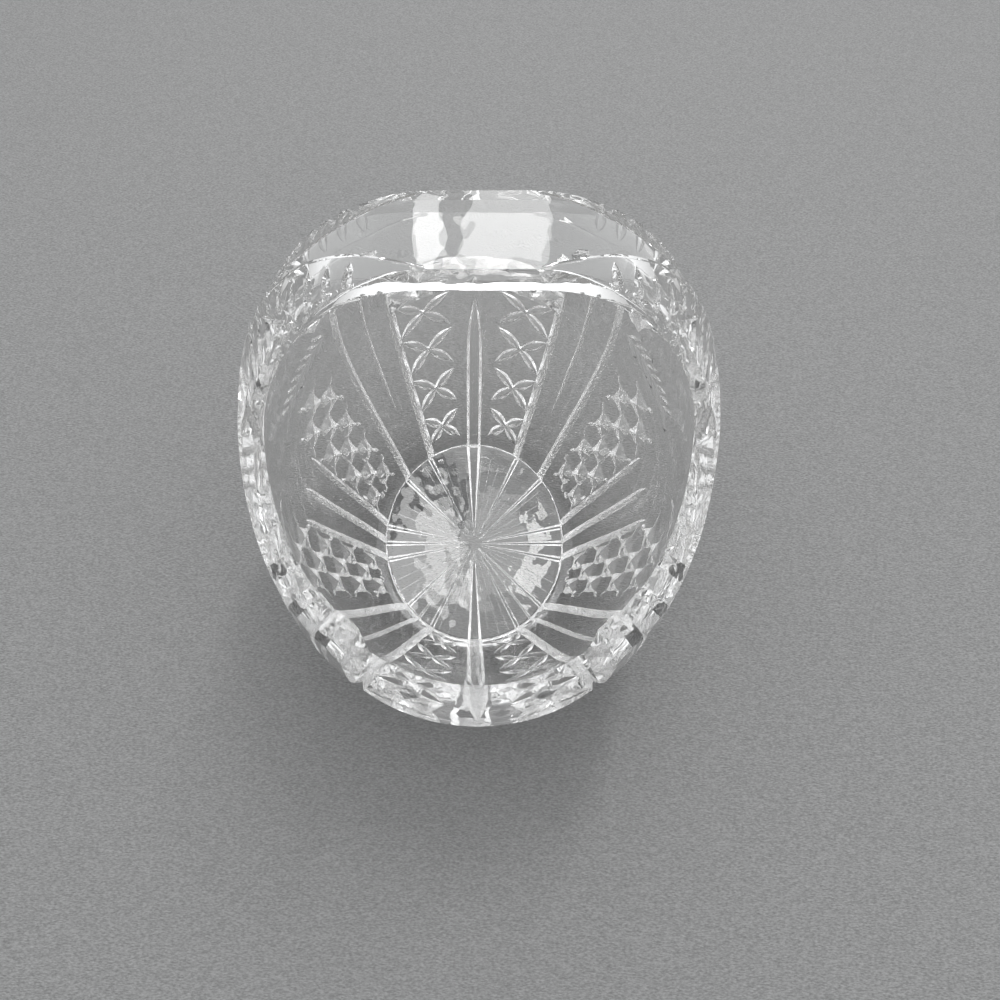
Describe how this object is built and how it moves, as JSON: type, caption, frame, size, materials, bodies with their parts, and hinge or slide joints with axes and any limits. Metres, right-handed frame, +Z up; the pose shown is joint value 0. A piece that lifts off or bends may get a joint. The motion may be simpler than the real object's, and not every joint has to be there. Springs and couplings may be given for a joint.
{
  "type": "cut crystal basket",
  "caption": "Egg-shaped glass basket with a thick oval foot, cut flutes, crosses and lattices, low front and back lips, stepped shoulders and a broad arched handle.",
  "frame": {"origin": "middle of the foot, on the surface it stands on", "axes": "+Z up, +X along the handle's span, +Y towards the back lip"},
  "size_m": [0.144, 0.172, 0.184],
  "materials": {
    "crystal": "polished, clear"
  },
  "bodies": {
    "root": {"bowl": "crystal", "handle": "crystal"}
  },
  "joints": []
}
